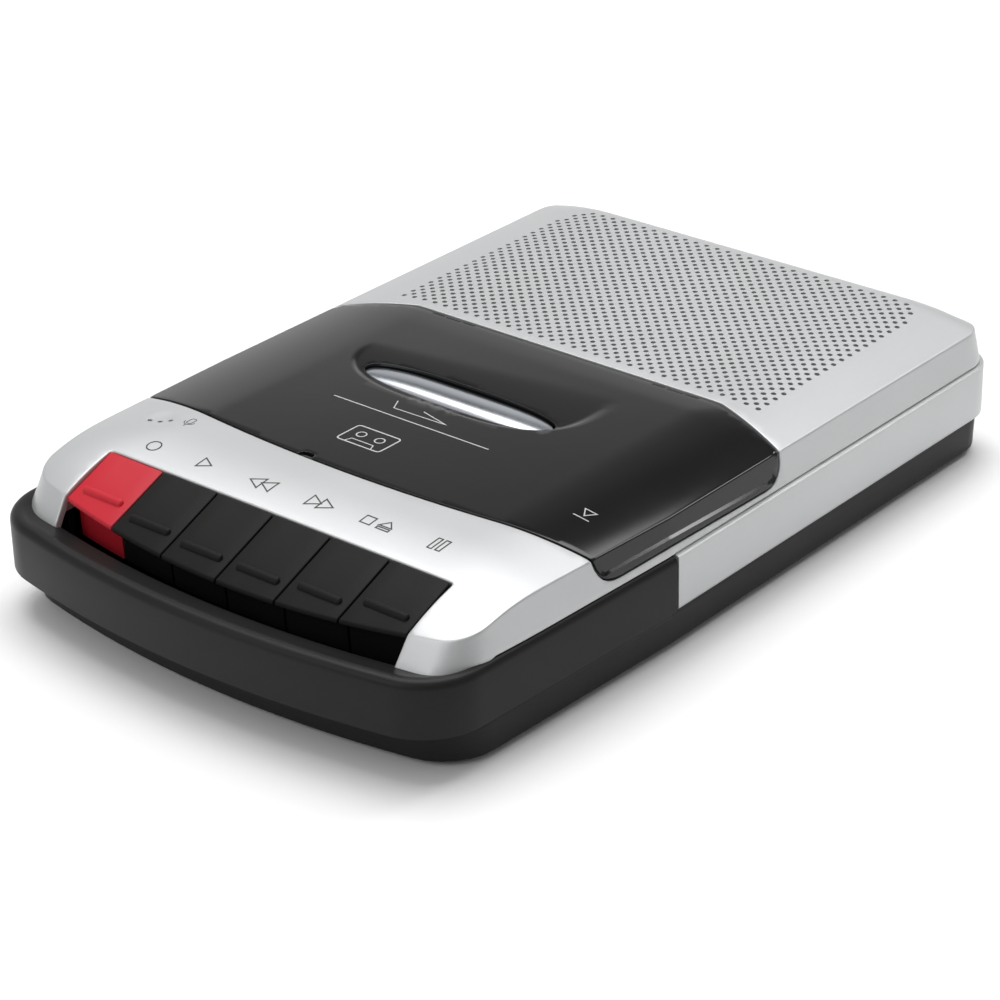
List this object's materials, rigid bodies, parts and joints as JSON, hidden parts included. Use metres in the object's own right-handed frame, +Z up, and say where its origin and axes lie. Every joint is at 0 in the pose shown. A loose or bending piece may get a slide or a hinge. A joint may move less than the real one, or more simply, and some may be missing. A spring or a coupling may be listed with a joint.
{
  "type": "portable cassette recorder",
  "caption": "Slimline mains and battery cassette recorder with piano keys, hinged cassette door, speaker grille and a carrying handle that slides out of the front.",
  "frame": {"origin": "middle of the footprint, on the surface that the rubber feet stand on", "axes": "+X to the right of a person at the keys, +Y from the keys to the speaker, +Z up"},
  "size_m": [0.1576, 0.242, 0.0404],
  "materials": {
    "silver_paint": "satin silver paint on plastic, fine metallic flake",
    "black_plastic": "satin moulded plastic, fine spark texture",
    "gloss_black": "high gloss black plastic",
    "key_black": "matte moulded plastic",
    "key_red": "satin red moulded plastic",
    "satin_metal": "satin metallised",
    "steel": "zinc plated pressed steel",
    "brass": "turned brass",
    "rubber": "black rubber",
    "board_green": "green solder mask over glass-fibre board",
    "nylon": "natural nylon",
    "ferrite": "dark sintered ferrite and varnished laminations",
    "paper": "black pulp paper",
    "cell_wrap": "printed plastic sleeve, plain colour"
  },
  "bodies": {
    "case": {"side_band": "silver_paint", "upper_housing": "silver_paint", "bottom_case": "black_plastic", "deck_plate": "black_plastic", "mains_inlet": "black_plastic", "battery_contact_left": "satin_metal", "battery_contact_right": "satin_metal", "microphone_jack": "satin_metal", "earphone_jack": "satin_metal", "microphone_capsule": "satin_metal", "case_screw_1": "steel", "case_screw_2": "steel", "case_screw_3": "steel", "case_screw_4": "steel", "hinge_pin_left": "steel", "hinge_pin_right": "steel", "door_lift_spring": "steel", "key_shaft": "steel", "key_spring_comb": "steel", "idler_post": "steel", "motor": "steel", "speaker_frame": "steel", "rubber_foot_1": "rubber", "rubber_foot_2": "rubber", "rubber_foot_3": "rubber", "rubber_foot_4": "rubber", "drive_belt": "rubber", "main_board": "board_green", "speaker_magnet": "ferrite", "mains_transformer": "ferrite", "speaker_cone": "paper", "battery_cell_1": "cell_wrap", "battery_cell_2": "cell_wrap", "battery_cell_3": "cell_wrap", "battery_cell_4": "cell_wrap"},
    "door": {"cassette_door": "gloss_black", "door_insert": "satin_metal", "cassette_holder": "black_plastic"},
    "handle": {"carrying_handle": "black_plastic"},
    "battery_cover": {"battery_door": "black_plastic"},
    "latch": {"door_latch": "steel"},
    "bridge": {"head_bridge": "steel", "record_play_head": "satin_metal", "erase_head": "key_black", "pinch_roller_arm": "steel"},
    "pinch": {"pinch_roller": "rubber"},
    "capstan": {"flywheel": "brass", "capstan_shaft": "steel"},
    "takeup": {"takeup_spindle": "nylon"},
    "supply": {"supply_spindle": "nylon"},
    "idler": {"idler_wheel": "rubber"},
    "pulley": {"motor_pulley": "brass"},
    "volume": {"volume_wheel": "black_plastic"},
    "record_key_body": {"record_key": "key_red"},
    "play_key_body": {"play_key": "key_black"},
    "rewind_key_body": {"rewind_key": "key_black"},
    "fast_forward_key_body": {"fast_forward_key": "key_black"},
    "stop_eject_key_body": {"stop_eject_key": "key_black"},
    "pause_key_body": {"pause_key": "key_black"}
  },
  "joints": [
    {"name": "door_hinge", "type": "hinge", "parent": "case", "child": "door", "pos_m": [0, 0.0259, 0.039], "axis": [-1, 0, 0], "range_deg": [0, 38]},
    {"name": "handle_slide", "type": "slide", "parent": "case", "child": "handle", "axis": [0, -1, 0], "range_m": [0, 0.04]},
    {"name": "battery_cover_hinge", "type": "hinge", "parent": "case", "child": "battery_cover", "pos_m": [-0.071, 0.05875, 0.001], "axis": [0, 1, 0], "range_deg": [0, 75]},
    {"name": "latch_slide", "type": "slide", "parent": "case", "child": "latch", "axis": [0, -1, 0], "range_m": [0, 0.0015]},
    {"name": "bridge_slide", "type": "slide", "parent": "case", "child": "bridge", "axis": [0, 1, 0], "range_m": [0, 0.006]},
    {"name": "capstan_spin", "type": "hinge", "parent": "case", "child": "capstan", "pos_m": [0.022, -0.041, 0.015], "axis": [0, 0, 1], "continuous": true},
    {"name": "pinch_spin", "type": "hinge", "parent": "bridge", "child": "pinch", "pos_m": [0.022, -0.054, 0.0324], "axis": [0, 0, 1], "continuous": true},
    {"name": "takeup_spin", "type": "hinge", "parent": "case", "child": "takeup", "pos_m": [0.02125, -0.012, 0.025], "axis": [0, 0, 1], "continuous": true},
    {"name": "supply_spin", "type": "hinge", "parent": "case", "child": "supply", "pos_m": [-0.02125, -0.012, 0.025], "axis": [0, 0, 1], "continuous": true},
    {"name": "idler_spin", "type": "hinge", "parent": "case", "child": "idler", "pos_m": [0.0216, -0.0315, 0.0204], "axis": [0, 0, 1], "continuous": true},
    {"name": "pulley_spin", "type": "hinge", "parent": "case", "child": "pulley", "pos_m": [0.05, 0.006, 0.008], "axis": [0, 0, 1], "continuous": true},
    {"name": "volume_turn", "type": "hinge", "parent": "case", "child": "volume", "pos_m": [-0.0694, -0.009, 0.019], "axis": [0, 0, 1], "range_deg": [0, 270]},
    {"name": "record_press", "type": "hinge", "parent": "case", "child": "record_key_body", "pos_m": [0, -0.072, 0.024], "axis": [1, 0, 0], "range_deg": [0, 12], "stiffness_Nm_per_rad": 0.2, "springref_deg": -11.46, "deforming": ["key_spring_comb"]},
    {"name": "play_press", "type": "hinge", "parent": "case", "child": "play_key_body", "pos_m": [0, -0.072, 0.024], "axis": [1, 0, 0], "range_deg": [0, 12], "stiffness_Nm_per_rad": 0.2, "springref_deg": -11.46, "deforming": ["key_spring_comb"]},
    {"name": "rewind_press", "type": "hinge", "parent": "case", "child": "rewind_key_body", "pos_m": [0, -0.072, 0.024], "axis": [1, 0, 0], "range_deg": [0, 12], "stiffness_Nm_per_rad": 0.2, "springref_deg": -11.46, "deforming": ["key_spring_comb"]},
    {"name": "fast_forward_press", "type": "hinge", "parent": "case", "child": "fast_forward_key_body", "pos_m": [0, -0.072, 0.024], "axis": [1, 0, 0], "range_deg": [0, 12], "stiffness_Nm_per_rad": 0.2, "springref_deg": -11.46, "deforming": ["key_spring_comb"]},
    {"name": "stop_eject_press", "type": "hinge", "parent": "case", "child": "stop_eject_key_body", "pos_m": [0, -0.072, 0.024], "axis": [1, 0, 0], "range_deg": [0, 12], "stiffness_Nm_per_rad": 0.2, "springref_deg": -11.46, "deforming": ["key_spring_comb"]},
    {"name": "pause_press", "type": "hinge", "parent": "case", "child": "pause_key_body", "pos_m": [0, -0.072, 0.024], "axis": [1, 0, 0], "range_deg": [0, 12], "stiffness_Nm_per_rad": 0.2, "springref_deg": -11.46, "deforming": ["key_spring_comb"]}
  ],
  "couplings": [
    {"joint": "bridge_slide", "follows": "play_press", "m_per_rad": 0.028638},
    {"joint": "latch_slide", "follows": "stop_eject_press", "m_per_rad": 0.007152},
    {"joint": "pinch_spin", "follows": "capstan_spin", "ratio": -0.21818},
    {"joint": "idler_spin", "follows": "capstan_spin", "ratio": -0.78431},
    {"joint": "takeup_spin", "follows": "capstan_spin", "ratio": 0.28571},
    {"joint": "pulley_spin", "follows": "capstan_spin", "ratio": 4.8889}
  ]
}
